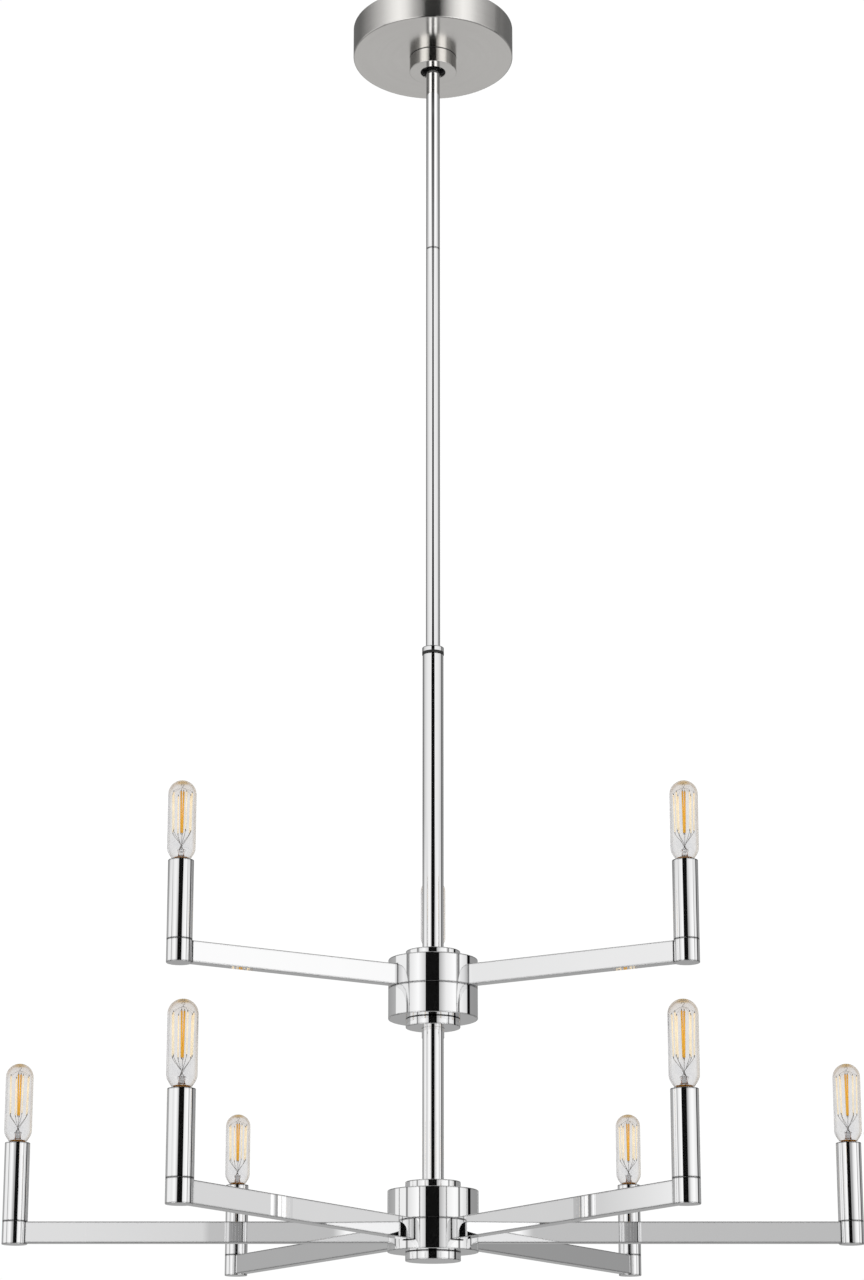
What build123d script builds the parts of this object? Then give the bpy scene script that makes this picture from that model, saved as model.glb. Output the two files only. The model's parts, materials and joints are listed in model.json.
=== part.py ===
"""Two-tier arm chandelier: three upper and six lower arms with tubular candle lamps, hung by a ball swivel.

Millimetres. The origin is the middle of the canopy where it meets the ceiling, +Z is up, and the
longest pair of arms lies along X. Everything hangs below z = 0.
"""
from build123d import *
import math
import os

# Canopy and ceiling bracket
CANOPY_R = 82.5
CANOPY_DEPTH = 32.0
CANOPY_SHEET = 1.2
CANOPY_EDGE_R = 1.1
CROSSBAR = (106.0, 22.0, 2.0)
CROSSBAR_CORNER_R = 6.0
BOX_SCREW_SPACING = 88.9
BOX_SCREW_SLOT = (14.0, 4.8)
GROUND_SCREW = {"x": 24.0, "shank_r": 1.95, "washer_r": 4.4, "washer": 0.8, "head_r": 3.4, "head": 2.6}
NIPPLE_END_GAP = 0.2
LOCKNUT_R = 8.2
LOCKNUT_HEIGHT = 4.0

# Lock collar and ball swivel
COLLAR_R = 24.3
COLLAR_HEIGHT = 15.5
COLLAR_FLOOR = 2.5
COLLAR_HOLE_R = 12.75
COLLAR_EDGE_R = 0.6
COLLAR_HOLE_EDGE_R = 0.5
BALL_R = 13.5
BALL_BORE_R = 4.0
BALL_ABOVE_COLLAR_BOTTOM = 15.0
SWIVEL_GAP = 0.25
SEAT_HOLE_R = 11.5
SEAT_LIFT = 0.1
SWIVEL_CAP_SHEET = 1.4
SWIVEL_CAP_SPAN = (5.0, 12.5)
HOUSING_R = 20.0
HOUSING_BORE_R = 17.5
HOUSING_HEADROOM = 16.0
HOUSING_LID = 4.5
HOUSING_GAP = 0.4

# Stem
ROD_R = 7.0
ROD_BORE_R = 5.5
ROD_TOP_BELOW_BALL = 7.0
ROD_SEAM_DROP = 246.7
ROD_SEAM_BEVEL = 0.2
ROD_BITE = 4.0
LOWER_ROD_LENGTH = 425.8
TUBE_R = 10.25
TUBE_BORE_R = 9.0
TUBE_CAP_R = 10.7
TUBE_CAP_HEIGHT = 7.2
TUBE_CAP_EDGES_R = (0.5, 0.4)
BODY_TUBE_LENGTH = 298.8
LOWER_STEM_LENGTH = 147.5
BUSHING_LENGTH = 12.0
PIPE_R = 5.1
PIPE_BORE_R = 3.8
SEAM_PIPE_LENGTH = 28.0

# Hubs: each is a slotted shell that carries the arms and a plain cover, with a small disc on each end
HUB_R = 43.0
HUB_WALL = 3.0
HUB_SHELL_HEIGHT = 28.5
HUB_COVER_HEIGHT = 29.5
HUB_EDGE_R = 0.8
SEAM_BEVEL = 0.35
DISC_R = 26.2
DISC_HEIGHT = 8.3
DISC_RECESS_R = (12.0, 23.2)
DISC_RECESS_DEPTH = 5.5
FINIAL_BITE = 5.3

# Arms
ARM_HEIGHT = 20.0
ARM_THICKNESS = 12.7
ARM_SHEET = 1.3
ARM_EDGE_R = 0.7
ARM_START_R = 13.5
ARM_SCREW_AT_R = 19.0
ARM_SCREW = {"shank_r": 1.95, "head_r": 3.5, "head": 2.4, "bite": 4.0}
LOWER_REACH = 393.7
UPPER_REACH = 267.6
SIDE_ARM_AZIMUTH = 58.0
LOWER_AZIMUTHS = [0.0, SIDE_ARM_AZIMUTH, 180.0 - SIDE_ARM_AZIMUTH]
LOWER_AZIMUTHS += [azimuth + 180.0 for azimuth in LOWER_AZIMUTHS]
UPPER_AZIMUTHS = [90.0, 210.0, 330.0]

# Candle at each arm's end; heights are above the cup's underside
CANDLE_R = 11.9
CUP_BELOW_ARM = 1.1
CUP_HEIGHT = 21.4
CUP_BORE_R = 10.2
CUP_FLOOR = 4.0
CUP_FOOT_R = 0.6
CANDLE_SEAM_R = 0.2
SPIGOT = 3.0
POST_LOW = 1.2
POST_BITE = 6.0
SLEEVE_TOP = 96.0
SLEEVE_BORE_R = 11.1
SLEEVE_RIM_R = 0.3
SOCKET_R = 9.6
SOCKET_LOW = 50.0
SOCKET_TOP = 93.5
SOCKET_SCREW_LOW = 64.0
SOCKET_GAP = 0.3
WIRE_HOLE_R = 3.0

# Lamp: a 26 mm tube on a candelabra screw base
LAMP_R = 13.0
LAMP_NECK_R = 8.3
LAMP_TOP = 171.8
LAMP_SHOULDER = 108.0
LAMP_GLASS = 0.9
LAMP_BASE_R = 5.9
LAMP_BASE_LOW = 66.0
LAMP_SEAT = 94.0
LAMP_NECK_HEIGHT = 3.5
LAMP_CONTACT = (3.0, 1.4)
LAMP_FOOT = (5.1, 3.0)

# Wiring
LEAD_R = 0.9
CABLE_R = 1.5
SUPPLY_LEAD_CIRCLE_R = 2.0
STEM_LEAD_X = 1.4
STEM_LEAD_ENDS = (12.0, 10.0)
CABLE_END_GAPS = (1.0, 8.0)
CONNECTOR = {"wide_r": 5.0, "narrow_r": 3.4, "height": 18.0, "off_stem": 24.0, "lift": 1.0}

# FIT is the play of pieces that slide together; CUT is how far a cutting solid runs past the face it cuts
FIT = 0.05
CUT = 1.0

# Levels of the stacked pieces
COLLAR_BOTTOM = -CANOPY_DEPTH - COLLAR_HEIGHT
COLLAR_FLOOR_TOP = COLLAR_BOTTOM + COLLAR_FLOOR
BALL_Z = COLLAR_BOTTOM + BALL_ABOVE_COLLAR_BOTTOM
HOUSING_CEILING = BALL_Z + HOUSING_HEADROOM
HOUSING_TOP = HOUSING_CEILING + HOUSING_LID
ROD_TOP = BALL_Z - ROD_TOP_BELOW_BALL
ROD_SEAM = -ROD_SEAM_DROP
TUBE_CAP_TOP = ROD_SEAM - LOWER_ROD_LENGTH
TUBE_TOP = TUBE_CAP_TOP - TUBE_CAP_HEIGHT
UPPER_DISC_TOP = TUBE_TOP - BODY_TUBE_LENGTH
UPPER_HUB_TOP = UPPER_DISC_TOP - DISC_HEIGHT
UPPER_SEAM = UPPER_HUB_TOP - HUB_SHELL_HEIGHT
UPPER_HUB_BOTTOM = UPPER_SEAM - HUB_COVER_HEIGHT
LOWER_DISC_TOP = UPPER_HUB_BOTTOM - DISC_HEIGHT - LOWER_STEM_LENGTH
LOWER_HUB_TOP = LOWER_DISC_TOP - DISC_HEIGHT
LOWER_SEAM = LOWER_HUB_TOP - HUB_COVER_HEIGHT
LOWER_HUB_BOTTOM = LOWER_SEAM - HUB_SHELL_HEIGHT

# Each tier: the underside of its arms, their reach and their directions
TIERS = {
    "upper": (UPPER_SEAM, UPPER_REACH, UPPER_AZIMUTHS),
    "lower": (LOWER_SEAM - ARM_HEIGHT, LOWER_REACH, LOWER_AZIMUTHS),
}


def save(node, solids):
    """Write one node's solids to its own STEP file."""
    export_step(Compound(label=node, children=list(solids)), f"parts/{node}.step")


def rod(radius, low, high):
    """Solid cylinder on the Z axis."""
    return Pos(0, 0, low) * Cylinder(radius, high - low, align=(Align.CENTER, Align.CENTER, Align.MIN))


def tube(outer, inner, low, high):
    """Hollow cylinder on the Z axis."""
    return rod(outer, low, high) - rod(inner, low - CUT, high + CUT)


def turned(edges):
    """Solid of revolution about Z of a closed outline drawn in the XZ plane."""
    return revolve(make_face(Wire(edges)), Axis.Z)


def outline(*points):
    """Straight edges through (radius, height) points, closed."""
    return Polyline(*[(radius, 0, height) for radius, height in points], close=True).edges()


def round_edge(solid, radius, height, size):
    """Round the circular edges of that radius at that height."""
    edges = solid.edges().filter_by(GeomType.CIRCLE)
    chosen = [e for e in edges if abs(e.radius - radius) < 0.01 and abs(e.center().Z - height) < 0.01]
    return fillet(chosen, size)


def flipped(solid, level):
    """The same solid turned upside down about a horizontal plane's X axis."""
    return Pos(0, 0, level) * Rot(180, 0, 0) * Pos(0, 0, -level) * solid


def around(solid, azimuth):
    """Turn a solid about the stem to an arm's direction."""
    return Rot(0, 0, azimuth) * solid


# ---- Ceiling end ----------------------------------------------------------------------------


def canopy():
    """Shallow spun pan, open to the ceiling, with a hole for the swivel housing."""
    inner_r = CANOPY_R - CANOPY_SHEET
    inner_z = -CANOPY_DEPTH + CANOPY_SHEET
    hole = HOUSING_R + HOUSING_GAP
    pan = turned(
        outline(
            (hole, -CANOPY_DEPTH), (CANOPY_R, -CANOPY_DEPTH), (CANOPY_R, 0),
            (inner_r, 0), (inner_r, inner_z), (hole, inner_z),
        )
    )
    return round_edge(pan, CANOPY_R, -CANOPY_DEPTH, CANOPY_EDGE_R)


def lock_collar():
    """Plain ring that screws up onto the swivel housing and clamps the canopy."""
    shell = tube(COLLAR_R, COLLAR_HOLE_R, COLLAR_BOTTOM, -CANOPY_DEPTH)
    shell -= rod(HOUSING_R + FIT, COLLAR_FLOOR_TOP, 0)
    shell = round_edge(shell, COLLAR_R, COLLAR_BOTTOM, COLLAR_EDGE_R)
    return round_edge(shell, COLLAR_HOLE_R, COLLAR_BOTTOM, COLLAR_HOLE_EDGE_R)


def swivel_housing():
    """Steel cup over the ball, hung from the threaded nipple."""
    housing = rod(HOUSING_R, COLLAR_FLOOR_TOP, HOUSING_TOP)
    housing -= rod(HOUSING_BORE_R, COLLAR_FLOOR_TOP - CUT, HOUSING_CEILING)
    return housing - rod(PIPE_R + FIT, HOUSING_CEILING - CUT, HOUSING_TOP + CUT)


def swivel_seat():
    """Nylon ring under the ball; it turns in the housing and sits on the collar's floor."""
    ring = tube(HOUSING_BORE_R - SWIVEL_GAP, SEAT_HOLE_R, COLLAR_FLOOR_TOP + SEAT_LIFT, BALL_Z)
    return ring - Pos(0, 0, BALL_Z) * Sphere(BALL_R + SWIVEL_GAP)


def swivel_cap():
    """Nylon dome washer over the ball, with a hole for the leads."""
    inner = BALL_R + SWIVEL_GAP
    dome = Sphere(inner + SWIVEL_CAP_SHEET) - Sphere(inner)
    band = rod(HOUSING_R, *SWIVEL_CAP_SPAN)
    return Pos(0, 0, BALL_Z) * (dome & band)


def swivel_ball():
    """Bored ball screwed onto the top of the rod."""
    ball = Pos(0, 0, BALL_Z) * Sphere(BALL_R)
    ball -= rod(BALL_BORE_R, BALL_Z - BALL_R, BALL_Z + BALL_R)
    return ball - rod(ROD_R + FIT, BALL_Z - BALL_R, ROD_TOP)


def crossbar():
    """Flat strap that bolts to the ceiling box through two slots and carries the nipple."""
    length, width, thickness = CROSSBAR
    slot_length, slot_width = BOX_SCREW_SLOT
    profile = RectangleRounded(length, width, CROSSBAR_CORNER_R)
    for side in (-1, 1):
        profile -= Pos(side * BOX_SCREW_SPACING / 2, 0) * SlotOverall(slot_length, slot_width)
    profile -= Circle(PIPE_R + FIT)
    profile -= Pos(GROUND_SCREW["x"], 0) * Circle(GROUND_SCREW["shank_r"] + FIT)
    return Pos(0, 0, -thickness) * extrude(profile, thickness)


def ground_screw():
    """Hex-washer earth screw in the crossbar."""
    size = GROUND_SCREW
    bar_low = -CROSSBAR[2]
    washer_low = bar_low - size["washer"]
    head_low = washer_low - size["head"]
    shank = rod(size["shank_r"], bar_low, 0)
    washer = rod(size["washer_r"], washer_low, bar_low)
    head = Pos(0, 0, head_low) * extrude(RegularPolygon(size["head_r"], 6), size["head"])
    return Pos(size["x"], 0, 0) * (shank + washer + head)


def nipple():
    """Threaded pipe from the crossbar down into the swivel housing."""
    return tube(PIPE_R, PIPE_BORE_R, HOUSING_CEILING + NIPPLE_END_GAP, -NIPPLE_END_GAP)


def nipple_locknut():
    """Hex nut under the crossbar."""
    top = -CROSSBAR[2]
    low = top - LOCKNUT_HEIGHT
    nut = Pos(0, 0, low) * extrude(RegularPolygon(LOCKNUT_R, 6), LOCKNUT_HEIGHT)
    return nut - rod(PIPE_R + FIT, low - CUT, top + CUT)


def supply_leads():
    """Live, neutral and earth leads in the nipple."""
    lead = Pos(SUPPLY_LEAD_CIRCLE_R, 0, 0) * rod(LEAD_R, HOUSING_CEILING, -NIPPLE_END_GAP)
    return [around(lead, angle) for angle in (90, 210, 330)]


# ---- Stem -----------------------------------------------------------------------------------


def upper_rod():
    """Rod from inside the ball down to the seam."""
    return tube(ROD_R, ROD_BORE_R, ROD_SEAM, ROD_TOP) - rod_seam_groove()


def lower_rod():
    """Rod from the seam down into the tube cap."""
    return tube(ROD_R, ROD_BORE_R, TUBE_CAP_TOP - ROD_BITE, ROD_SEAM) - rod_seam_groove()


def rod_seam_groove():
    """Fine V that the two bevelled rod ends make where they meet."""
    bevel = ROD_SEAM_BEVEL
    outside = ROD_R + bevel
    return turned(
        outline((ROD_R - bevel, ROD_SEAM), (outside, ROD_SEAM + 2 * bevel), (outside, ROD_SEAM - 2 * bevel))
    )


def tube_cap():
    """Turned reducer between the rod and the body tube, with a spigot inside the tube."""
    top_edge, low_edge = TUBE_CAP_EDGES_R
    spigot_low = TUBE_TOP - BUSHING_LENGTH
    body = rod(TUBE_CAP_R, TUBE_TOP, TUBE_CAP_TOP)
    body = round_edge(body, TUBE_CAP_R, TUBE_CAP_TOP, top_edge)
    body = round_edge(body, TUBE_CAP_R, TUBE_TOP, low_edge)
    body += rod(TUBE_BORE_R - FIT, spigot_low, TUBE_TOP)
    body -= rod(PIPE_R, spigot_low - CUT, TUBE_CAP_TOP)
    return body - rod(ROD_R + FIT, TUBE_CAP_TOP - ROD_BITE, TUBE_CAP_TOP + CUT)


def body_tube():
    """Thicker tube from the cap down through the upper disc onto the upper hub."""
    return tube(TUBE_R, TUBE_BORE_R, UPPER_HUB_TOP, TUBE_TOP)


def lower_stem():
    """Tube between the two hubs."""
    return tube(TUBE_R, TUBE_BORE_R, LOWER_HUB_TOP, UPPER_HUB_BOTTOM)


def tube_bushings():
    """Threaded plugs in the three tube ends that meet a hub."""
    plug = tube(TUBE_BORE_R - FIT, PIPE_R + FIT, 0, BUSHING_LENGTH)
    lows = (UPPER_HUB_TOP, UPPER_HUB_BOTTOM - BUSHING_LENGTH, LOWER_HUB_TOP)
    return [Pos(0, 0, low) * plug for low in lows]


def lamp_pipes():
    """Threaded pipes: one at the rod seam, one through each hub and one under each socket."""
    in_bushing = BUSHING_LENGTH - CUT
    spans = [
        (ROD_SEAM - SEAM_PIPE_LENGTH / 2, ROD_SEAM + SEAM_PIPE_LENGTH / 2),
        (UPPER_HUB_BOTTOM - in_bushing, UPPER_HUB_TOP + in_bushing),
        (LOWER_HUB_BOTTOM - FINIAL_BITE, LOWER_HUB_TOP + in_bushing),
    ]
    pipes = [tube(PIPE_R, PIPE_BORE_R, low, high) for low, high in spans]
    post = tube(PIPE_R, PIPE_BORE_R, POST_LOW, SOCKET_LOW + POST_BITE)
    return pipes + [place * post for place in candle_places()]


# ---- Hubs -----------------------------------------------------------------------------------


def bevel_ring(level):
    """V-shaped ring that bevels a hub half's edge along the seam."""
    outside = HUB_R + CUT
    spread = SEAM_BEVEL + CUT
    corners = [(HUB_R - SEAM_BEVEL, level), (outside, level + spread), (outside, level - spread)]
    return turned(outline(*corners))


def hub_shell(azimuths):
    """Slotted half, floor up and seam at z = 0: the arms lie in its slots against its thick floor."""
    shell = rod(HUB_R, 0, HUB_SHELL_HEIGHT)
    shell = round_edge(shell, HUB_R, HUB_SHELL_HEIGHT, HUB_EDGE_R)
    shell -= rod(HUB_R - HUB_WALL, -CUT, ARM_HEIGHT)
    shell -= rod(PIPE_R + FIT, 0, HUB_SHELL_HEIGHT + CUT)
    slot = Pos(HUB_R, 0, 0) * Box(4 * HUB_WALL, ARM_THICKNESS + 2 * FIT, 2 * ARM_HEIGHT)
    screw_hole = Pos(ARM_SCREW_AT_R, 0, 0) * rod(ARM_SCREW["shank_r"] + FIT, 0, HUB_SHELL_HEIGHT + CUT)
    for azimuth in azimuths:
        shell -= around(slot, azimuth)
        shell -= around(screw_hole, azimuth)
    return shell - bevel_ring(0)


def hub_cover():
    """Plain half, floor down and seam at z = 0."""
    cover = rod(HUB_R, -HUB_COVER_HEIGHT, 0)
    cover = round_edge(cover, HUB_R, -HUB_COVER_HEIGHT, HUB_EDGE_R)
    cover -= rod(HUB_R - HUB_WALL, HUB_WALL - HUB_COVER_HEIGHT, CUT)
    cover -= rod(PIPE_R + FIT, -HUB_COVER_HEIGHT - CUT, 0)
    return cover - bevel_ring(0)


def hub_disc():
    """Small disc on a hub's end, resting on z = 0, hollowed over the arm screws."""
    recess_in, recess_out = DISC_RECESS_R
    disc = rod(DISC_R, 0, DISC_HEIGHT)
    disc = round_edge(disc, DISC_R, DISC_HEIGHT, HUB_EDGE_R)
    return disc - tube(recess_out, recess_in, -CUT, DISC_RECESS_DEPTH)


def stem_disc():
    """Hub disc with a hole for the tube."""
    return hub_disc() - rod(TUBE_R + FIT, -CUT, DISC_HEIGHT + CUT)


def finial():
    """Closed hub disc with a blind threaded pocket."""
    return hub_disc() - rod(PIPE_R + FIT, -CUT, DISC_RECESS_DEPTH)


def arm_screws():
    """One screw per arm, through the shell's floor into the arm's wall, hidden by the disc."""
    size = ARM_SCREW
    screw = rod(size["shank_r"], ARM_HEIGHT - size["bite"], HUB_SHELL_HEIGHT)
    screw += rod(size["head_r"], HUB_SHELL_HEIGHT, HUB_SHELL_HEIGHT + size["head"])
    screw = Pos(ARM_SCREW_AT_R, 0, 0) * screw
    upper = [Pos(0, 0, UPPER_SEAM) * around(screw, azimuth) for azimuth in UPPER_AZIMUTHS]
    lower = [Pos(0, 0, LOWER_SEAM) * Rot(180, 0, 0) * around(screw, azimuth) for azimuth in LOWER_AZIMUTHS]
    return upper + lower


def wire_connectors():
    """Two twist-on splices in each hub's cover."""
    size = CONNECTOR
    upright = (Align.CENTER, Align.CENTER, Align.MIN)
    cone = Cone(size["wide_r"], size["narrow_r"], size["height"], align=upright)
    lows = (UPPER_HUB_BOTTOM + HUB_WALL, LOWER_SEAM + size["lift"])
    return [Pos(0, side * size["off_stem"], low) * cone for low in lows for side in (-1, 1)]


# ---- Arms and candles -----------------------------------------------------------------------


def arm(reach, screw_side):
    """Rectangular tube along +X, underside at z = 0, coped to the cup; screw_side is +1 for its top."""
    section = RectangleRounded(ARM_THICKNESS, ARM_HEIGHT, ARM_EDGE_R)
    section -= Rectangle(ARM_THICKNESS - 2 * ARM_SHEET, ARM_HEIGHT - 2 * ARM_SHEET)
    plane = Plane((ARM_START_R, 0, ARM_HEIGHT / 2), x_dir=(0, 1, 0), z_dir=(1, 0, 0))
    bar = extrude(plane * section, reach - ARM_START_R)
    bar -= Pos(reach, 0, 0) * rod(CANDLE_R, -CUT, ARM_HEIGHT + CUT)
    face = ARM_HEIGHT if screw_side > 0 else 0.0
    reach_in = ARM_SHEET + CUT
    hole = rod(ARM_SCREW["shank_r"] + FIT, face - reach_in, face + reach_in)
    return bar - Pos(ARM_SCREW_AT_R, 0, 0) * hole


def arm_places(tier):
    """Where each arm of a tier goes, as placements of an arm modelled along +X."""
    underside, _, azimuths = TIERS[tier]
    return [Pos(0, 0, underside) * Rot(0, 0, azimuth) for azimuth in azimuths]


def candle_places():
    """Where each candle goes, upper tier first; z = 0 is the cup's underside and -X points at the stem."""
    places = []
    for tier, (_, reach, _) in TIERS.items():
        places += [place * Pos(reach, 0, -CUP_BELOW_ARM) for place in arm_places(tier)]
    return places


def cup():
    """Socket cup at the arm's end, with a blind boss for the post and a spigot for the sleeve."""
    body = rod(CANDLE_R, 0, CUP_HEIGHT)
    body = round_edge(body, CANDLE_R, 0, CUP_FOOT_R)
    body = round_edge(body, CANDLE_R, CUP_HEIGHT, CANDLE_SEAM_R)
    body += rod(SLEEVE_BORE_R - FIT, CUP_HEIGHT, CUP_HEIGHT + SPIGOT)
    body -= rod(CUP_BORE_R, CUP_FLOOR, CUP_HEIGHT + SPIGOT + CUT)
    body -= rod(PIPE_R + FIT, POST_LOW, CUP_FLOOR + CUT)
    wire_hole = Rot(0, 90, 0) * Cylinder(WIRE_HOLE_R, CANDLE_R)
    return body - Pos(-CANDLE_R, 0, CUP_BELOW_ARM + ARM_HEIGHT / 2) * wire_hole


def sleeve():
    """Candle sleeve standing on the cup."""
    body = tube(CANDLE_R, SLEEVE_BORE_R, CUP_HEIGHT, SLEEVE_TOP)
    body = round_edge(body, CANDLE_R, CUP_HEIGHT, CANDLE_SEAM_R)
    return round_edge(body, CANDLE_R, SLEEVE_TOP, SLEEVE_RIM_R)


def lamp_socket():
    """Candelabra socket on its post."""
    body = rod(SOCKET_R, SOCKET_LOW, SOCKET_TOP)
    body -= rod(PIPE_R + FIT, SOCKET_LOW - CUT, SOCKET_LOW + POST_BITE)
    return body - rod(LAMP_BASE_R + SOCKET_GAP, SOCKET_SCREW_LOW, SOCKET_TOP + CUT)


def lamp_glass():
    """Tubular envelope: neck, rounded shoulder, straight wall and domed end, all one sheet thick."""

    def skin(inset):
        radius, neck = LAMP_R - inset, LAMP_NECK_R - inset
        seat, dome = LAMP_SEAT + inset, LAMP_TOP - LAMP_R
        neck_top = LAMP_SEAT + LAMP_NECK_HEIGHT
        halfway = radius * math.sqrt(0.5)
        side = [
            Line((0, 0, seat), (neck, 0, seat)),
            Line((neck, 0, seat), (neck, 0, neck_top)),
            Spline(
                (neck, 0, neck_top), (radius, 0, LAMP_SHOULDER),
                tangents=[(0.7, 0, 1), (0, 0, 1)],
            ),
            Line((radius, 0, LAMP_SHOULDER), (radius, 0, dome)),
            ThreePointArc((radius, 0, dome), (halfway, 0, dome + halfway), (0, 0, dome + radius)),
            Line((0, 0, dome + radius), (0, 0, seat)),
        ]
        return turned(side)

    mouth = rod(LAMP_FOOT[0] + FIT, LAMP_SEAT - CUT, LAMP_SEAT + LAMP_GLASS + CUT)
    return skin(0) - skin(LAMP_GLASS) - mouth


def lamp_base():
    """Screw shell with its contact below and the glass stem's foot above."""
    contact_r, contact_height = LAMP_CONTACT
    foot_r, foot_height = LAMP_FOOT
    shell = rod(LAMP_BASE_R, LAMP_BASE_LOW, LAMP_SEAT)
    shell += rod(contact_r, LAMP_BASE_LOW - contact_height, LAMP_BASE_LOW)
    return shell + rod(foot_r, LAMP_SEAT, LAMP_SEAT + foot_height)


# ---- Wiring ---------------------------------------------------------------------------------


def wiring():
    """Two stem leads from the ball to the lower hub, and a cable in each arm."""
    above_seam, above_ball = STEM_LEAD_ENDS
    lead = rod(LEAD_R, LOWER_SEAM + above_seam, BALL_Z + above_ball)
    cables = [Pos(side * STEM_LEAD_X, 0, 0) * lead for side in (-1, 1)]
    inner_gap, outer_gap = CABLE_END_GAPS
    for tier, (_, reach, _) in TIERS.items():
        start, end = ARM_START_R + inner_gap, reach - outer_gap
        cable = Rot(0, 90, 0) * Cylinder(CABLE_R, end - start)
        cable = Pos((start + end) / 2, 0, ARM_HEIGHT / 2) * cable
        cables += [place * cable for place in arm_places(tier)]
    return cables


def save_all():
    """Build every node and write its STEP file."""
    os.makedirs("parts", exist_ok=True)
    for make in (
        canopy, lock_collar, swivel_housing, swivel_seat, swivel_cap, swivel_ball, crossbar,
        ground_screw, nipple, nipple_locknut, upper_rod, lower_rod, tube_cap, body_tube, lower_stem,
    ):
        save(make.__name__, [make()])
    for make in (supply_leads, tube_bushings, lamp_pipes, arm_screws, wire_connectors, wiring):
        save(make.__name__, make())

    disc = stem_disc()
    save("upper_hub_disc", [Pos(0, 0, UPPER_HUB_TOP) * disc])
    save("upper_hub_shell", [Pos(0, 0, UPPER_SEAM) * hub_shell(UPPER_AZIMUTHS)])
    save("upper_hub_cover", [Pos(0, 0, UPPER_SEAM) * hub_cover()])
    save("upper_hub_ring", [flipped(Pos(0, 0, UPPER_HUB_BOTTOM) * disc, UPPER_HUB_BOTTOM)])
    save("lower_hub_disc", [Pos(0, 0, LOWER_HUB_TOP) * disc])
    save("lower_hub_cover", [flipped(Pos(0, 0, LOWER_SEAM) * hub_cover(), LOWER_SEAM)])
    save("lower_hub_shell", [flipped(Pos(0, 0, LOWER_SEAM) * hub_shell(LOWER_AZIMUTHS), LOWER_SEAM)])
    save("finial", [flipped(Pos(0, 0, LOWER_HUB_BOTTOM) * finial(), LOWER_HUB_BOTTOM)])

    places = candle_places()
    names = [f"{tier}_{n}" for tier in TIERS for n in range(1, len(TIERS[tier][2]) + 1)]
    for tier, screw_side in (("upper", 1), ("lower", -1)):
        bar = arm(TIERS[tier][1], screw_side)
        for n, place in enumerate(arm_places(tier), start=1):
            save(f"arm_{tier}_{n}", [place * bar])
    candle_sleeve, glass, base = sleeve(), lamp_glass(), lamp_base()
    for name, place in zip(names, places):
        save(f"sleeve_{name}", [place * candle_sleeve])
        save(f"lamp_{name}", [place * glass, place * base])
    candle_cup, socket = cup(), lamp_socket()
    upper_count = len(UPPER_AZIMUTHS)
    save("upper_cups", [place * candle_cup for place in places[:upper_count]])
    save("lower_cups", [place * candle_cup for place in places[upper_count:]])
    save("lamp_sockets", [place * socket for place in places])


save_all()
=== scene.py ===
"""Looks of the two-tier chandelier: chrome, satin nickel, glass lamps and a plain studio.

Metres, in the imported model's frame: the ceiling plane is z = 0, +Z is up and the longest arms lie
along X. Pieces of a lamp are made once, standing on z = 0 about the Z axis, and placed where the
model has its lamps.
"""
import json
import math

import bmesh
import bpy
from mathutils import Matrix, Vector


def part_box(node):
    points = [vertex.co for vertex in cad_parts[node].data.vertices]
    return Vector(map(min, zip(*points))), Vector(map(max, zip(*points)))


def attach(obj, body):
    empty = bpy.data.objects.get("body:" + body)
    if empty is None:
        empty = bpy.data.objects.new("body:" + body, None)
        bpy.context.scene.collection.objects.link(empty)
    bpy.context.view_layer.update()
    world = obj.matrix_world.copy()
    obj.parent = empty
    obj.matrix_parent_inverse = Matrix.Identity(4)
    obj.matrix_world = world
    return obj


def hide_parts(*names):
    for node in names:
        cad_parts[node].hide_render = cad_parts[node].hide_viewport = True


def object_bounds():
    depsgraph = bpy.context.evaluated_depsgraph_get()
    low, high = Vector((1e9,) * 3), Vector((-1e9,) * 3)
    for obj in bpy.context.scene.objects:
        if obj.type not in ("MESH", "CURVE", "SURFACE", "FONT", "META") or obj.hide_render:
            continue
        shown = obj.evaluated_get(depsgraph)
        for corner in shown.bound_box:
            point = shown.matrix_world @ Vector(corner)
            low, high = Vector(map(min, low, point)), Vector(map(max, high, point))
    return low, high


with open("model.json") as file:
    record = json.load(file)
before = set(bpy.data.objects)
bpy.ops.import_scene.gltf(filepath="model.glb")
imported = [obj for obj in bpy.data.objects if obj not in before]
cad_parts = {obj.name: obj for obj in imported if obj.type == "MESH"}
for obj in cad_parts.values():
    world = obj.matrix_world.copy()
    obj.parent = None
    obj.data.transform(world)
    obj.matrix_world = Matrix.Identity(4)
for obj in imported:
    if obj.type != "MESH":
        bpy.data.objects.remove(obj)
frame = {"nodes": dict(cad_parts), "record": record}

CAD_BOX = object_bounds()
SCENE = bpy.context.scene
MM = 0.001
TINY = 1e-7

# Camera: below the fixture's lowest point, tilted up, with the frame shifted up to hold the canopy
CAMERA_DISTANCE = 2.600
CAMERA_DROP = 1.516
CAMERA_PITCH = 12.76
CAMERA_LENS = 77.56
CAMERA_SHIFT = (-0.0008, 0.203)
CAMERA_REACH = 60.0

# Painted dark reflection along the chrome's edges: its width, and how far the rounded and true normals agree
# there
CHROME_EDGE = 2.2 * MM
EDGE_ALIKE = (0.94, 0.992)
PAINTED_EDGE_BRIGHTNESS = 0.02

# Studio: the card's edges are (height, left, right)
BACKDROP = 1.02
OVERHEAD_LIGHT = {"location": (0.6, -1.2, 2.4), "size": 2.4, "power": 110.0}
FLOOR_GAP = 0.75
FLOOR_R = 30.0
CARD_DISTANCE = 1.55
CARD_EDGES = [
    (-2.0, -0.52, 0.43), (-0.62, -0.52, 0.43), (-0.54, -0.56, 0.54), (-0.2, -0.50, 0.48),
    (-0.05, -0.44, 0.42), (0.10, -0.38, 0.36), (0.75, -0.30, 0.28),
]

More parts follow.
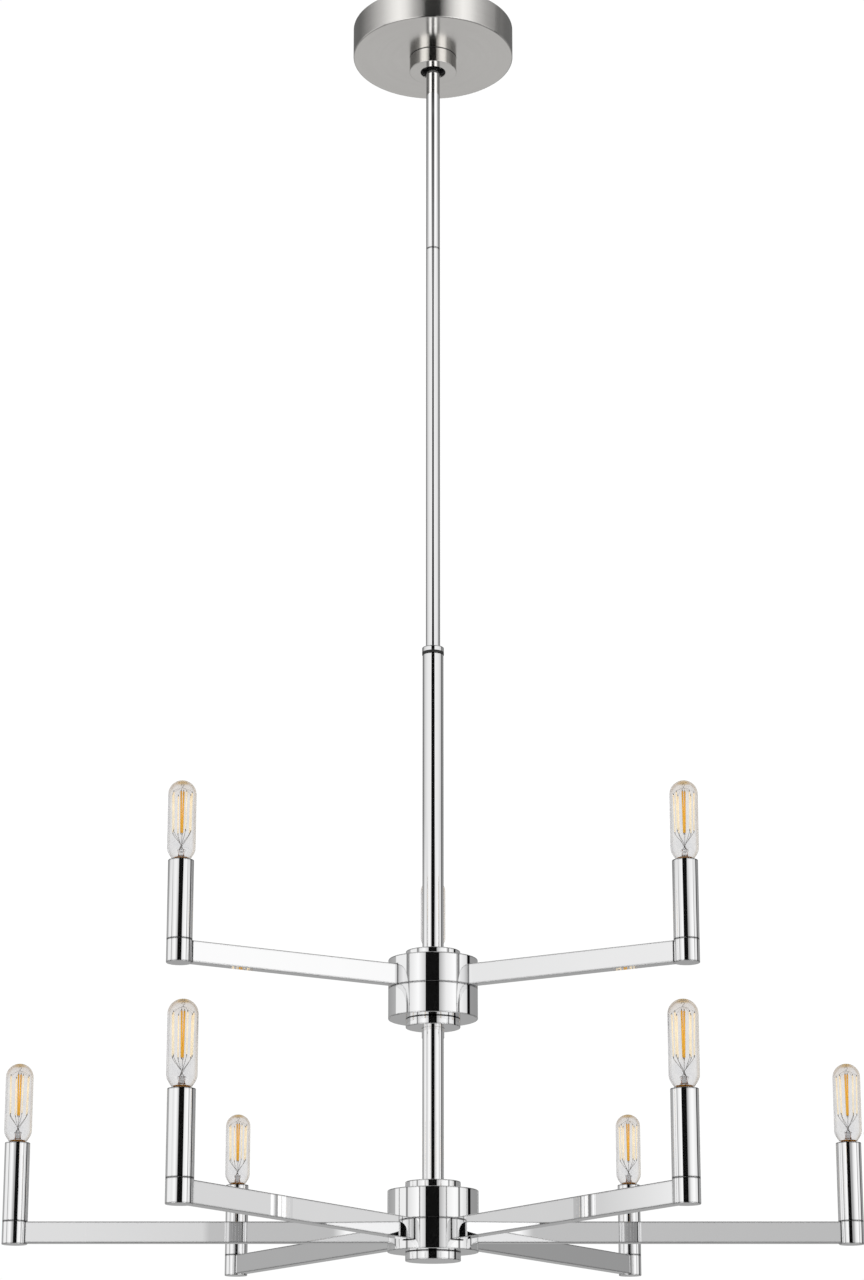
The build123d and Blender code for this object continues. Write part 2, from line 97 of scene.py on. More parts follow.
# Lamp, as in the model but 0.02 mm inside its widest radius
LAMP_R = 12.98 * MM
LAMP_NECK_R = 8.3 * MM
LAMP_GLASS = 0.9 * MM
LAMP_LIP = 0.5 * MM
LAMP_BASE_R = 5.9 * MM
LAMP_CONTACT = (3.0 * MM, 1.4 * MM)
LAMP_SEAT = 29.4 * MM
LAMP_NECK_HEIGHT = 3.5 * MM
LAMP_SHOULDER = 43.4 * MM
LAMP_HEIGHT = 107.2 * MM


# ---- Node trees -----------------------------------------------------------------------------


class Tree:
    """Short calls for building a node tree."""

    def __init__(self, tree):
        self.tree = tree
        tree.nodes.clear()

    def put(self, socket, value):
        """Link a node or socket to a socket, or set the socket's own value."""
        if isinstance(value, bpy.types.Node):
            value = value.outputs[0]
        if isinstance(value, bpy.types.NodeSocket):
            self.tree.links.new(value, socket)
        else:
            socket.default_value = value

    def add(self, kind, inputs=None, **settings):
        """Add a node of that kind, set its settings and fill its inputs by name or number."""
        node = self.tree.nodes.new(kind)
        for key, value in settings.items():
            setattr(node, key, value)
        for key, value in (inputs or {}).items():
            self.put(node.inputs[key], value)
        return node

    def math(self, operation, *values):
        """One Math node."""
        return self.add("ShaderNodeMath", dict(enumerate(values)), operation=operation)

    def remap(self, value, low, high, to_low, to_high):
        """Map a value's range to another, clamped."""
        names = ("Value", "From Min", "From Max", "To Min", "To Max")
        return self.add("ShaderNodeMapRange", dict(zip(names, (value, low, high, to_low, to_high))))

    def blend(self, factor, first, second):
        """Mix two colours."""
        node = self.add("ShaderNodeMix", data_type="RGBA")
        for key, value in ((0, factor), (6, first), (7, second)):
            self.put(node.inputs[key], value)
        return node.outputs[2]

    def ramp(self, factor, stops):
        """Colour ramp from (position, colour) stops."""
        node = self.add("ShaderNodeValToRGB", {"Fac": factor})
        elements = node.color_ramp.elements
        for _ in stops[2:]:
            elements.new(0.5)
        for element, (position, colour) in zip(elements, stops):
            element.position = position
            element.color = colour
        return node.outputs[0]

    def noise(self, vector, scale, detail, roughness=0.5):
        """Noise value at a scale in cycles per metre."""
        inputs = {"Vector": vector, "Scale": scale, "Detail": detail, "Roughness": roughness}
        return self.add("ShaderNodeTexNoise", inputs).outputs[0]

    def place(self, scale=(1.0, 1.0, 1.0)):
        """Position on the object, stretched along its axes."""
        coordinates = self.add("ShaderNodeTexCoord").outputs["Object"]
        return self.add("ShaderNodeMapping", {"Vector": coordinates, "Scale": scale})

    def bump(self, height, distance, strength=1.0, normal=None):
        """Bump from a height value; distance is the relief in metres."""
        inputs = {"Height": height, "Distance": distance, "Strength": strength}
        if normal is not None:
            inputs["Normal"] = normal
        return self.add("ShaderNodeBump", inputs)


def grey(value):
    """Opaque grey of a linear brightness."""
    return (value, value, value, 1.0)


def shown(value):
    """Linear brightness of a grey that a screen shows as value out of 255."""
    share = value / 255
    return share / 12.92 if share <= 0.04045 else ((share + 0.055) / 1.055) ** 2.4


def finish_of(name, make, **sockets):
    """Material with a Principled shader: make(tree) gives the sockets with nodes, the rest are constants."""
    material = bpy.data.materials.new(name)
    material.use_nodes = True
    tree = Tree(material.node_tree)
    shader = tree.add("ShaderNodeBsdfPrincipled")
    for key, value in {**sockets, **make(tree)}.items():
        tree.put(shader.inputs[key], value)
    tree.add("ShaderNodeOutputMaterial", {"Surface": shader})
    return material


# ---- Materials ------------------------------------------------------------------------------


def polished_chrome(tree):
    """Mirror plate with the faintest ripple, polishing lines and haze, and a painted dark reflection along
    its edges.
    """
    place = tree.place()
    cloud = tree.noise(place, 14.0, 3.0)
    fine = tree.noise(tree.place((9.0, 9.0, 1.0)), 260.0, 4.0, 0.6)
    haze = tree.math("MULTIPLY", cloud, fine)
    plate = tree.blend(cloud, (0.805, 0.805, 0.808, 1), (0.835, 0.835, 0.838, 1))
    # Mask for the painted dark reflection: where the rounded normal parts from the true one, near an edge
    soft_edge = tree.add("ShaderNodeBevel", {"Radius": CHROME_EDGE}, samples=8)
    true_normal = tree.add("ShaderNodeNewGeometry").outputs["Normal"]
    normals = {0: soft_edge, 1: true_normal}
    agreement = tree.add("ShaderNodeVectorMath", normals, operation="DOT_PRODUCT")
    edge = tree.remap(agreement.outputs["Value"], *EDGE_ALIKE, 1.0, 0.0)
    ripple = tree.bump(tree.noise(place, 40.0, 1.0), 0.0008 * MM)
    lines = tree.bump(fine, 0.00002 * MM, normal=ripple)
    return {
        # Painted dark reflection: the plate colour turns near black along every edge
        "Base Color": tree.blend(edge, plate, grey(PAINTED_EDGE_BRIGHTNESS)),
        "Roughness": tree.remap(haze, 0.1, 0.5, 0.0, 0.012),
        "Normal": lines,
    }


def satin_nickel(tree):
    """Lathe-brushed nickel: fine rings about the stem that vary along and across them."""
    coordinates = tree.add("ShaderNodeTexCoord").outputs["Object"]
    parts = tree.add("ShaderNodeSeparateXYZ", {"Vector": coordinates})
    x, y, z = parts.outputs
    squares = tree.math("ADD", tree.math("MULTIPLY", x, x), tree.math("MULTIPLY", y, y))
    radius = tree.math("SQRT", squares)
    turn = tree.math("ARCTAN2", y, x)
    around = tree.math("MULTIPLY", turn, 0.002)
    ring_place = tree.add("ShaderNodeCombineXYZ", {"X": radius, "Y": around, "Z": z})
    rings = tree.noise(ring_place, 2600.0, 6.0, 0.7)
    broad = tree.noise(ring_place, 240.0, 3.0)
    cloud = tree.noise(coordinates, 18.0, 3.0)
    tone = tree.math("ADD", tree.math("MULTIPLY", rings, 0.6), tree.math("MULTIPLY", broad, 0.4))
    tangent = tree.add("ShaderNodeTangent", direction_type="RADIAL", axis="Z")
    tones = [
        (0.25, (0.600, 0.585, 0.565, 1)),
        (0.55, (0.635, 0.622, 0.602, 1)),
        (0.8, (0.66, 0.65, 0.63, 1)),
    ]
    return {
        "Base Color": tree.ramp(tone, tones),
        "Roughness": tree.remap(tree.math("ADD", tone, cloud), 0.6, 1.4, 0.13, 0.19),
        "Normal": tree.bump(rings, 0.0003 * MM, 0.6),
        "Tangent": tangent,
    }


def zinc_steel(tree):
    """Zinc plate with soft crystal clouds."""
    place = tree.place()
    crystals = tree.add("ShaderNodeTexVoronoi", {"Vector": place, "Scale": 420.0}).outputs["Color"]
    cloud = tree.noise(place, 60.0, 4.0)
    return {
        "Base Color": tree.blend(
            tree.blend(0.6, crystals, cloud), (0.52, 0.53, 0.54, 1), (0.70, 0.70, 0.68, 1)
        ),
        "Roughness": tree.remap(cloud, 0.3, 0.7, 0.28, 0.46),
        "Normal": tree.bump(tree.noise(place, 900.0, 3.0), 0.01 * MM),
    }


def threaded(tree, dark, light, pitch):
    """Rolled thread on a vertical pipe, with painted shade darkening its roots."""
    coordinates = tree.add("ShaderNodeTexCoord").outputs["Object"]
    z = tree.add("ShaderNodeSeparateXYZ", {"Vector": coordinates}).outputs["Z"]
    wave = tree.math("SINE", tree.math("MULTIPLY", z, math.tau / pitch))
    crest = tree.remap(wave, -1.0, 1.0, 0.0, 1.0)
    cloud = tree.noise(coordinates, 150.0, 3.0)
    return {
        # Painted shade: the colour darkens towards each thread root
        "Base Color": tree.blend(tree.math("MULTIPLY", crest, cloud), dark, light),
        "Roughness": tree.remap(cloud, 0.3, 0.7, 0.24, 0.42),
        "Normal": tree.bump(crest, 0.3 * MM),
    }


def brass_pipe(tree):
    """Threaded brass."""
    return threaded(tree, (0.40, 0.27, 0.11, 1), (0.86, 0.66, 0.33, 1), 1.0 * MM)


def nickel_thread(tree):
    """Lamp base shell: bright plate with cloudy dull patches."""
    cloud = tree.noise(tree.place(), 260.0, 3.0)
    return {
        "Base Color": tree.blend(cloud, (0.60, 0.58, 0.53, 1), (0.80, 0.78, 0.72, 1)),
        "Roughness": tree.remap(cloud, 0.3, 0.7, 0.16, 0.34),
    }


def moulded(tree, colour, lighter, grain=1500.0):
    """Moulded plastic with a fine spark-eroded grain and slight mottling."""
    place = tree.place()
    cloud = tree.noise(place, 90.0, 3.0)
    return {
        "Base Color": tree.blend(cloud, colour, lighter),
        "Roughness": tree.remap(cloud, 0.3, 0.7, 0.38, 0.56),
        "Normal": tree.bump(tree.noise(place, grain, 4.0), 0.03 * MM),
    }


def black_nylon(tree):
    """Black nylon of the swivel's seat and cap."""
    return moulded(tree, (0.012, 0.012, 0.013, 1), (0.030, 0.030, 0.032, 1))


def black_phenolic(tree):
    """Dark brown-black phenolic of the sockets."""
    return moulded(tree, (0.020, 0.016, 0.013, 1), (0.045, 0.038, 0.032, 1), 700.0)


def connector_plastic(tree):
    """Orange twist-on splices."""
    return moulded(tree, (0.72, 0.30, 0.04, 1), (0.86, 0.42, 0.08, 1))


def wire_insulation(tree):
    """Extruded insulation with faint lengthwise die lines."""
    return moulded(tree, (0.70, 0.69, 0.64, 1), (0.82, 0.81, 0.77, 1), 600.0)


def green_screw(tree):
    """Dyed green earth screw with worn, lighter patches."""
    cloud = tree.noise(tree.place(), 500.0, 4.0)
    return {
        "Base Color": tree.ramp(cloud, [(0.35, (0.03, 0.22, 0.07, 1)), (0.7, (0.16, 0.46, 0.20, 1))]),
        "Roughness": tree.remap(cloud, 0.3, 0.7, 0.25, 0.45),
    }


def clear_glass(tree):
    """Thin drawn glass: warm grey, warmer towards the dome with an amber crown; painted shade darkens it
    where it is seen edge on, more warmly to the right and amber round the dome.
    """
    coordinates = tree.add("ShaderNodeTexCoord").outputs["Object"]
    across, _, height = tree.add("ShaderNodeSeparateXYZ", {"Vector": coordinates}).outputs
    dome = tree.remap(height, LAMP_HEIGHT - 1.3 * LAMP_R, LAMP_HEIGHT, 0.0, 1.0)
    crown = tree.remap(height, LAMP_HEIGHT - 2.6 * MM, LAMP_HEIGHT - 0.6 * MM, 0.0, 1.0)
    aside = tree.remap(across, -LAMP_R, LAMP_R, 0.0, 1.0)
    smoke = tree.remap(tree.noise(coordinates, 60.0, 3.0), 0.35, 0.65, 0.0, 1.0)
    wall = tree.blend(smoke, (0.820, 0.821, 0.830, 1), (0.880, 0.873, 0.865, 1))
    warm = tree.blend(tree.math("MULTIPLY", dome, smoke), wall, (0.79, 0.735, 0.68, 1))
    body = tree.blend(crown, warm, (0.62, 0.42, 0.14, 1))
    # Painted shade for glass seen edge on: grey on the left, warmer on the right, amber round the dome
    painted_side_shade = tree.blend(aside, (0.50, 0.49, 0.49, 1), (0.60, 0.48, 0.33, 1))
    painted_limb_shade = tree.blend(dome, painted_side_shade, (0.48, 0.29, 0.08, 1))
    facing = tree.add("ShaderNodeLayerWeight", {"Blend": 0.5}).outputs["Facing"]
    draw = tree.noise(tree.place((1.0, 1.0, 0.05)), 420.0, 2.0)
    return {
        "Base Color": tree.blend(tree.remap(facing, 0.38, 0.95, 0.0, 1.0), body, painted_limb_shade),
        "Normal": tree.bump(draw, 0.0004 * MM),
    }


def coated(tree, core, middle, edge):
    """Glowing coating that is brighter along the middle of each strand."""
    coordinates = tree.add("ShaderNodeTexCoord").outputs["Object"]
    grain = tree.noise(coordinates, 900.0, 3.0)
    facing = tree.add("ShaderNodeLayerWeight", {"Blend": 0.35}).outputs["Facing"]
    shade = tree.math("ADD", tree.math("MULTIPLY", facing, 0.8), tree.math("MULTIPLY", grain, 0.3))
    colour = tree.ramp(shade, [(0.1, core), (0.5, middle), (0.9, edge)])
    return {
        "Base Color": colour,
        "Emission Color": colour,
        "Roughness": tree.remap(grain, 0.3, 0.7, 0.35, 0.5),
    }


def amber_coat(tree):
    """Amber middle strands."""
    return coated(tree, (0.86, 0.48, 0.05, 1), (0.62, 0.30, 0.025, 1), (0.36, 0.15, 0.01, 1))


def cream_coat(tree):
    """Cream outer strands."""
    return coated(tree, (1.0, 0.90, 0.68, 1), (0.98, 0.80, 0.52, 1), (0.85, 0.60, 0.33, 1))


def plain_metal(tree, colour, worn):
    """Wire metal with slight tarnish."""
    cloud = tree.noise(tree.place(), 700.0, 3.0)
    return {
        "Base Color": tree.blend(cloud, colour, worn),
        "Roughness": tree.remap(cloud, 0.3, 0.7, 0.18, 0.35),
    }


def support_wire(tree):
    """Dark molybdenum and nickel support wires."""
    return plain_metal(tree, (0.20, 0.19, 0.18, 1), (0.36, 0.34, 0.32, 1))


def copper_wire(tree):
    """Copper-coated seal wires where they pass the glass."""
    return plain_metal(tree, (0.62, 0.24, 0.10, 1), (0.80, 0.38, 0.18, 1))


def neck_cement(tree):
    """Brown basing cement with pores."""
    place = tree.place()
    pores = tree.noise(place, 1400.0, 5.0, 0.7)
    return {
        "Base Color": tree.ramp(pores, [(0.35, (0.34, 0.12, 0.012, 1)), (0.65, (0.74, 0.34, 0.04, 1))]),
        "Roughness": tree.remap(pores, 0.3, 0.7, 0.6, 0.85),
        "Normal": tree.bump(pores, 0.05 * MM),
    }


def floor_paint(tree):
    """Pale matt floor with the faintest mottling."""
    cloud = tree.noise(tree.place(), 1.5, 4.0)
    return {
        "Base Color": tree.blend(cloud, (0.80, 0.80, 0.80, 1), (0.84, 0.84, 0.84, 1)),
        "Roughness": tree.remap(cloud, 0.3, 0.7, 0.75, 0.9),
    }


METAL = {"Metallic": 1.0}
SATIN = {"Metallic": 1.0, "Anisotropic": 0.85, "Anisotropic Rotation": 0.25}
GLASS = {"Transmission Weight": 1.0, "IOR": 1.33, "Roughness": 0.0}
COATING = {"Emission Strength": 0.6, "Specular IOR Level": 0.1}
FINISHES = {
    "polished_chrome": finish_of("polished_chrome", polished_chrome, **METAL),
    "satin_nickel": finish_of("satin_nickel", satin_nickel, **SATIN),
    "zinc_steel": finish_of("zinc_steel", zinc_steel, **METAL),
    "brass_pipe": finish_of("brass_pipe", brass_pipe, **METAL),
    "green_screw": finish_of("green_screw", green_screw, **METAL),
    "black_nylon": finish_of("black_nylon", black_nylon),
    "black_phenolic": finish_of("black_phenolic", black_phenolic),
    "connector_plastic": finish_of("connector_plastic", connector_plastic),
    "wire_insulation": finish_of("wire_insulation", wire_insulation),
}
CLEAR_GLASS = finish_of("clear_glass", clear_glass, **GLASS)
AMBER_COAT = finish_of("amber_coat", amber_coat, **COATING)
CREAM_COAT = finish_of("cream_coat", cream_coat, **COATING)
NICKEL_THREAD = finish_of("nickel_thread", nickel_thread, **METAL)
SUPPORT_WIRE = finish_of("support_wire", support_wire, **METAL)
COPPER_WIRE = finish_of("copper_wire", copper_wire, **METAL)
NECK_CEMENT = finish_of("neck_cement", neck_cement)


def finish_cad_nodes():
    """Give every node of the model the finish of its material slot."""
    for part in frame["record"]["subparts"]:
        finish = FINISHES.get(part["material_slot"])
        if finish is None:
            continue
        node = frame["nodes"][part["node"]]
        node.data.materials.clear()
        node.data.materials.append(finish)


# ---- Mesh tools -----------------------------------------------------------------------------


def mesh_from(name, bm, material, smooth=True):
    """Turn a bmesh into a mesh with one material."""
    bmesh.ops.recalc_face_normals(bm, faces=bm.faces)
    mesh = bpy.data.meshes.new(name)
    bm.to_mesh(mesh)
    bm.free()
    for polygon in mesh.polygons:
        polygon.use_smooth = smooth
    mesh.materials.append(material)
    return mesh


def add_ring(bm, points):
    """Vertices at the points, in order."""
    return [bm.verts.new(point) for point in points]


def bridge(bm, lower, upper):
    """Quads between two rings of equal count, or a fan where one is a single point."""
    count = max(len(lower), len(upper))
    if count == 1:
        return
    for n in range(count):
        following = (n + 1) % count
        corners = [lower[n % len(lower)], lower[following % len(lower)]]
        corners += [upper[following % len(upper)], upper[n % len(upper)]]
        bm.faces.new(list(dict.fromkeys(corners)))


def circle(radius, height, segments, wave=None):
    """Points round the Z axis; wave(angle) is added to the radius."""
    if radius < TINY:
        return [(0.0, 0.0, height)]
    points = []
    for n in range(segments):
        angle = math.tau * n / segments
        r = radius + (wave(angle) if wave else 0.0)
        points.append((r * math.cos(angle), r * math.sin(angle), height))
    return points


def lathe(bm, profile, segments, closed=False):
    """Surface of revolution of (radius, height) points; closed joins the last ring to the first."""
    rings = [add_ring(bm, circle(radius, height, segments)) for radius, height in profile]
    pairs = list(zip(rings, rings[1:]))
    if closed:
        pairs.append((rings[-1], rings[0]))
    for lower, upper in pairs:
        bridge(bm, lower, upper)


def tube_along(bm, points, radius, segments):
    """Closed round rod through a list of points, with flat ends."""
    points = [Vector(p) for p in points]
    rings = []
    for n, point in enumerate(points):
        ahead = points[min(n + 1, len(points) - 1)] - points[max(n - 1, 0)]
        turn = ahead.to_track_quat("Z", "Y").to_matrix()
        rings.append(add_ring(bm, [turn @ Vector(p) + point for p in circle(radius, 0.0, segments)]))
    for lower, upper in zip(rings, rings[1:]):
        bridge(bm, lower, upper)
    bm.faces.new(rings[0])
    bm.faces.new(rings[-1])


def arc(centre, radius, start, end, steps):
    """(radius, height) points on an arc, angles in degrees from the outward direction."""
    for n in range(steps + 1):
        angle = math.radians(start + (end - start) * n / steps)
        yield centre[0] + radius * math.cos(angle), centre[1] + radius * math.sin(angle)


# ---- Lamp -----------------------------------------------------------------------------------

STRAND_TOP = 96.0 * MM
MIDDLE_TOP = 98.6 * MM
STRAND_LOW = 57.5 * MM
MIDDLE_SPREAD = (1.15 * MM, 0.55 * MM)
OUTER_SPREAD = (9.8 * MM, 9.0 * MM)
OUTER_ANGLES = (-62, -20, 42)
MIDDLE_R = 0.80 * MM
OUTER_R = 0.66 * MM
STRAND_TIP = 1.6 * MM
TIP_SHARE = 0.6
WIRE_R = 0.20 * MM
FINE_WIRE_R = 0.07 * MM
SEAL_WIRE_R = 0.34 * MM
PRESS_TOP = 42.0 * MM
MAST_TOP = 100.8 * MM
HOOK_R = 1.3 * MM
HOOK_STEPS = 12
HOOK_STEP_TURN = 27
HOOK_STEP_ASIDE = 0.02 * MM
SHOULDER_STEPS = 14
WALL_STEPS = 6
DOME_STEPS = 20
THREAD_PITCH = 2.54 * MM
THREAD_DEPTH = 0.38 * MM
THREAD_SPAN = (5.0 * MM, 23.0 * MM)
THREAD_STEPS = 84
THREAD_FADE_STEPS = 6


def envelope_profile(inset):
    """Outer skin of the glass moved inwards by inset, from the seat up to the crown."""
    radius, neck = LAMP_R - inset, LAMP_NECK_R - inset
    neck_top = LAMP_SEAT + LAMP_NECK_HEIGHT
    dome = LAMP_HEIGHT - LAMP_R
    seat = LAMP_SEAT + inset
    points = [(neck - LAMP_LIP, seat), (neck, seat + LAMP_LIP), (neck, neck_top)]
    for n in range(1, SHOULDER_STEPS + 1):
        share = n / SHOULDER_STEPS
        ease = math.sin(share * math.pi / 2)
        points.append((neck + (radius - neck) * ease, neck_top + (LAMP_SHOULDER - neck_top) * share))
    wall = dome - LAMP_SHOULDER
    points += [(radius, LAMP_SHOULDER + wall * n / WALL_STEPS) for n in range(1, WALL_STEPS)]
    points += list(arc((0.0, dome), radius, 0, 90, DOME_STEPS))
    return points


def lamp_envelope():
    """Glass shell, open at the seat, with both skins."""
    bm = bmesh.new()
    outer = envelope_profile(0.0)
    inner = envelope_profile(LAMP_GLASS)
    lathe(bm, outer + inner[::-1], segments=96, closed=True)
    bmesh.ops.remove_doubles(bm, verts=bm.verts, dist=TINY)
    return mesh_from("lamp_envelope", bm, CLEAR_GLASS)


def lamp_screw_shell():
    """Rolled screw shell with its rim, insulator cone and solder contact."""
    bm = bmesh.new()
    segments = 48
    low, high = THREAD_SPAN
    contact_r, contact_height = LAMP_CONTACT
    mean = LAMP_BASE_R - THREAD_DEPTH
    rim_top = LAMP_SEAT - 0.1 * MM
    rings = [add_ring(bm, circle(r, z, segments)) for r, z in (
        (0.0, 0.0), (contact_r * 0.7, 0.1 * MM), (contact_r, 0.7 * MM), (contact_r, contact_height),
        (contact_r + 0.8 * MM, 2.2 * MM), (mean - 0.6 * MM, 4.0 * MM),
    )]
    for n in range(THREAD_STEPS + 1):
        height = low + (high - low) * n / THREAD_STEPS
        fade = min(1.0, n / THREAD_FADE_STEPS, (THREAD_STEPS - n) / THREAD_FADE_STEPS)
        phase = math.tau * height / THREAD_PITCH
        wave = lambda angle: THREAD_DEPTH * fade * math.sin(phase - angle)
        rings.append(add_ring(bm, circle(mean, height, segments, wave)))
    for r, z in ((LAMP_BASE_R, high + 1.0 * MM), (LAMP_BASE_R, rim_top), (0.0, rim_top)):
        rings.append(add_ring(bm, circle(r, z, segments)))
    for lower, upper in zip(rings, rings[1:]):
        bridge(bm, lower, upper)
    return mesh_from("lamp_screw_shell", bm, NICKEL_THREAD)


def lamp_cement():
    """Brown cement ring that shows through the neck."""
    bm = bmesh.new()
    outer = LAMP_NECK_R - LAMP_GLASS - 0.15 * MM
    low, high = LAMP_SEAT + 1.1 * MM, LAMP_SEAT + 4.4 * MM
    dip = high - 0.3 * MM
    profile = [(0.0, low), (outer, low), (outer, high - 0.4 * MM), (outer - 0.5 * MM, high)]
    lathe(bm, profile + [(4.0 * MM, dip), (0.0, dip)], segments=48)
    return mesh_from("lamp_cement", bm, NECK_CEMENT)


def lamp_press():
    """Glass stem: a tube that flares at the foot and is pressed flat around the lead wires."""
    bm = bmesh.new()
    segments = 32
    foot = LAMP_SEAT + 4.5 * MM
    levels = [
        (6.0, 6.0, 0.0), (4.8, 4.8, 0.6), (3.5, 3.5, 1.5), (2.9, 2.9, 2.8), (2.7, 2.7, 4.0),
        (3.3, 1.9, 5.4), (3.7, 1.2, 6.6), (3.7, 1.0, 7.6), (3.2, 0.8, 8.1),
    ]
    rings = []
    for wide, thin, height in levels:
        points = [
            (wide * MM * math.cos(a), thin * MM * math.sin(a), foot + height * MM)
            for a in (math.tau * n / segments for n in range(segments))
        ]
        rings.append(add_ring(bm, points))
    for lower, upper in zip(rings, rings[1:]):
        bridge(bm, lower, upper)
    bm.faces.new(rings[0])
    bm.faces.new(rings[-1])
    return mesh_from("lamp_press", bm, CLEAR_GLASS)


def middle_strands():
    """Low and high ends of the two middle strands, a narrow wedge that closes at the bottom."""
    wide, narrow = MIDDLE_SPREAD
    for side in (-1, 1):
        low = Vector((side * narrow, side * narrow, STRAND_LOW - 1.5 * MM))
        yield low, Vector((side * wide, side * narrow, MIDDLE_TOP))


def outer_strands():
    """Low and high ends of the six outer strands, three a side, on a cage that narrows downwards."""
    wide, narrow = OUTER_SPREAD
    for side in (0, 180):
        for angle in OUTER_ANGLES:
            turn = math.radians(side + angle)
            out = Vector((math.cos(turn), math.sin(turn), 0))
            yield out * narrow + Vector((0, 0, STRAND_LOW)), out * wide + Vector((0, 0, STRAND_TOP))


def lamp_strands(name, strands, radius, material):
    """Coated strands between their metal tips."""
    bm = bmesh.new()
    for low, high in strands:
        tip = STRAND_TIP / (high - low).length
        start, end = low.lerp(high, tip), high.lerp(low, tip)
        tube_along(bm, [start, start.lerp(end, 0.5), end], radius, 16)
    return mesh_from(name, bm, material)


def lamp_supports():
    """Strand tips, the mast with its crown and hook, and the wires that cross below the strands."""
    bm = bmesh.new()
    crown = Vector((0, 0, MAST_TOP))
    for low, high in list(middle_strands()) + list(outer_strands()):
        tip = STRAND_TIP / (high - low).length
        tube_along(bm, [high.lerp(low, tip), high], OUTER_R * TIP_SHARE, 10)
        tube_along(bm, [low.lerp(high, tip), low], OUTER_R * TIP_SHARE, 10)
        tube_along(bm, [high, high.lerp(crown, 0.6) + Vector((0, 0, 0.5 * MM)), crown], FINE_WIRE_R, 8)
    for low, _ in outer_strands():
        side = math.copysign(1.0, low.x)
        foot = Vector((-side * 1.9 * MM, low.y * 0.2, PRESS_TOP - 0.6 * MM))
        knee = Vector((side * 0.9 * MM, low.y * 0.5, low.z * 0.35 + foot.z * 0.65))
        tube_along(bm, [low, low.lerp(knee, 0.3) + Vector((0, 0, -0.5 * MM)), knee, foot], WIRE_R, 8)
    tube_along(bm, [(0, 0, PRESS_TOP - 0.6 * MM), (0.3 * MM, 0, STRAND_LOW - 1.5 * MM)], WIRE_R, 8)
    centre = crown + Vector((0, 0, 2 * HOOK_R))
    hook = [crown]
    for n in range(HOOK_STEPS):
        angle = math.radians(-90 + HOOK_STEP_TURN * n)
        across, up = HOOK_R * math.cos(angle), HOOK_R * math.sin(angle)
        hook.append(centre + Vector((across, HOOK_STEP_ASIDE * n, up)))
    tube_along(bm, hook, WIRE_R, 8)
    return mesh_from("lamp_supports", bm, SUPPORT_WIRE)


def lamp_seals():
    """Copper-coated wires inside the pressed glass."""
    bm = bmesh.new()
    for side in (-1, 1):
        top = Vector((side * 1.9 * MM, 0, PRESS_TOP - 0.8 * MM))
        low = Vector((side * 1.5 * MM, 0, LAMP_SEAT + 4.0 * MM))
        bend = low.lerp(top, 0.5) + Vector((side * 0.3 * MM, 0, 0))
        tube_along(bm, [low, bend, top], SEAL_WIRE_R, 10)
    return mesh_from("lamp_seals", bm, COPPER_WIRE)


def place_lamps():
    """Stand a detailed lamp where the model has each of its lamps."""
    parts = {
        "glass": lamp_envelope(),
        "base": lamp_screw_shell(),
        "cement": lamp_cement(),
        "press": lamp_press(),
        "middle_strands": lamp_strands("lamp_middle_strands", middle_strands(), MIDDLE_R, AMBER_COAT),
        "outer_strands": lamp_strands("lamp_outer_strands", outer_strands(), OUTER_R, CREAM_COAT),
        "supports": lamp_supports(),
        "seals": lamp_seals(),
    }
    for node in sorted(n for n in frame["nodes"] if n.startswith("lamp_") and n[-1].isdigit()):
        name = node.removeprefix("lamp_")
        low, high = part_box(node)
        for part, mesh in parts.items():
            piece = bpy.data.objects.new(f"lamp_{part}_{name}", mesh)
            SCENE.collection.objects.link(piece)
            piece.location = ((low.x + high.x) / 2, (low.y + high.y) / 2, low.z)
            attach(piece, f"lamp_body_{name}")
            if part == "glass":
                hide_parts(node)


# ---- Turned grooves -------------------------------------------------------------------------

GROOVE_PROUD = 0.03 * MM
GROOVE_DEPTH = 0.4 * MM
GROOVE_BEVEL = 0.02 * MM
CAP_GROOVE = {"down": 4.7 * MM, "height": 2.6 * MM}
COLLAR_GROOVE = {"down": 0.02 * MM, "height": 0.6 * MM}


def painted_groove_shade(tree):
    """Painted shade: near-black colour standing for the dark bottom of a turned groove."""
    turning = tree.noise(tree.place((1.0, 1.0, 12.0)), 900.0, 3.0)
    return {
        "Base Color": tree.blend(turning, (0.006, 0.006, 0.006, 1), (0.02, 0.02, 0.02, 1)),
        "Roughness": tree.remap(turning, 0.3, 0.7, 0.4, 0.6),
    }


def place_groove(name, node, top, height, body, slot):
    """Dark line of painted groove shade round a turned node, down from a height in the model."""
    low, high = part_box(node)
    radius = (high.x - low.x) / 2 + GROOVE_PROUD
    bottom = top - height
    inner = radius - GROOVE_DEPTH
    rim = radius - GROOVE_BEVEL
    profile = [(inner, bottom), (rim, bottom), (radius, bottom + GROOVE_BEVEL)]
    profile += [(radius, top - GROOVE_BEVEL), (rim, top), (inner, top)]
    bm = bmesh.new()
    lathe(bm, profile, segments=96, closed=True)
    ring = bpy.data.objects.new(name, mesh_from(name, bm, PAINTED_GROOVE_SHADE, smooth=False))
    SCENE.collection.objects.link(ring)
    ring.location = ((low.x + high.x) / 2, (low.y + high.y) / 2, 0.0)
    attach(ring, body)


def place_grooves():
    """Painted shade lines round the cap on top of the thicker tube and where the lock collar meets the
    canopy.
    """
    cap_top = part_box("tube_cap")[1].z - CAP_GROOVE["down"]
    collar_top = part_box("canopy")[0].z - COLLAR_GROOVE["down"]
    cap = (cap_top, CAP_GROOVE["height"])
    collar = (collar_top, COLLAR_GROOVE["height"])
    place_groove("tube_cap_groove", "tube_cap", *cap, "fixture", "polished_chrome")
    place_groove("collar_groove", "lock_collar", *collar, "ceiling_mount", "satin_nickel")


# Near-black material for the painted shade of grooves and seams
PAINTED_GROOVE_SHADE = finish_of("painted_groove_shade", painted_groove_shade)


# ---- Studio ---------------------------------------------------------------------------------


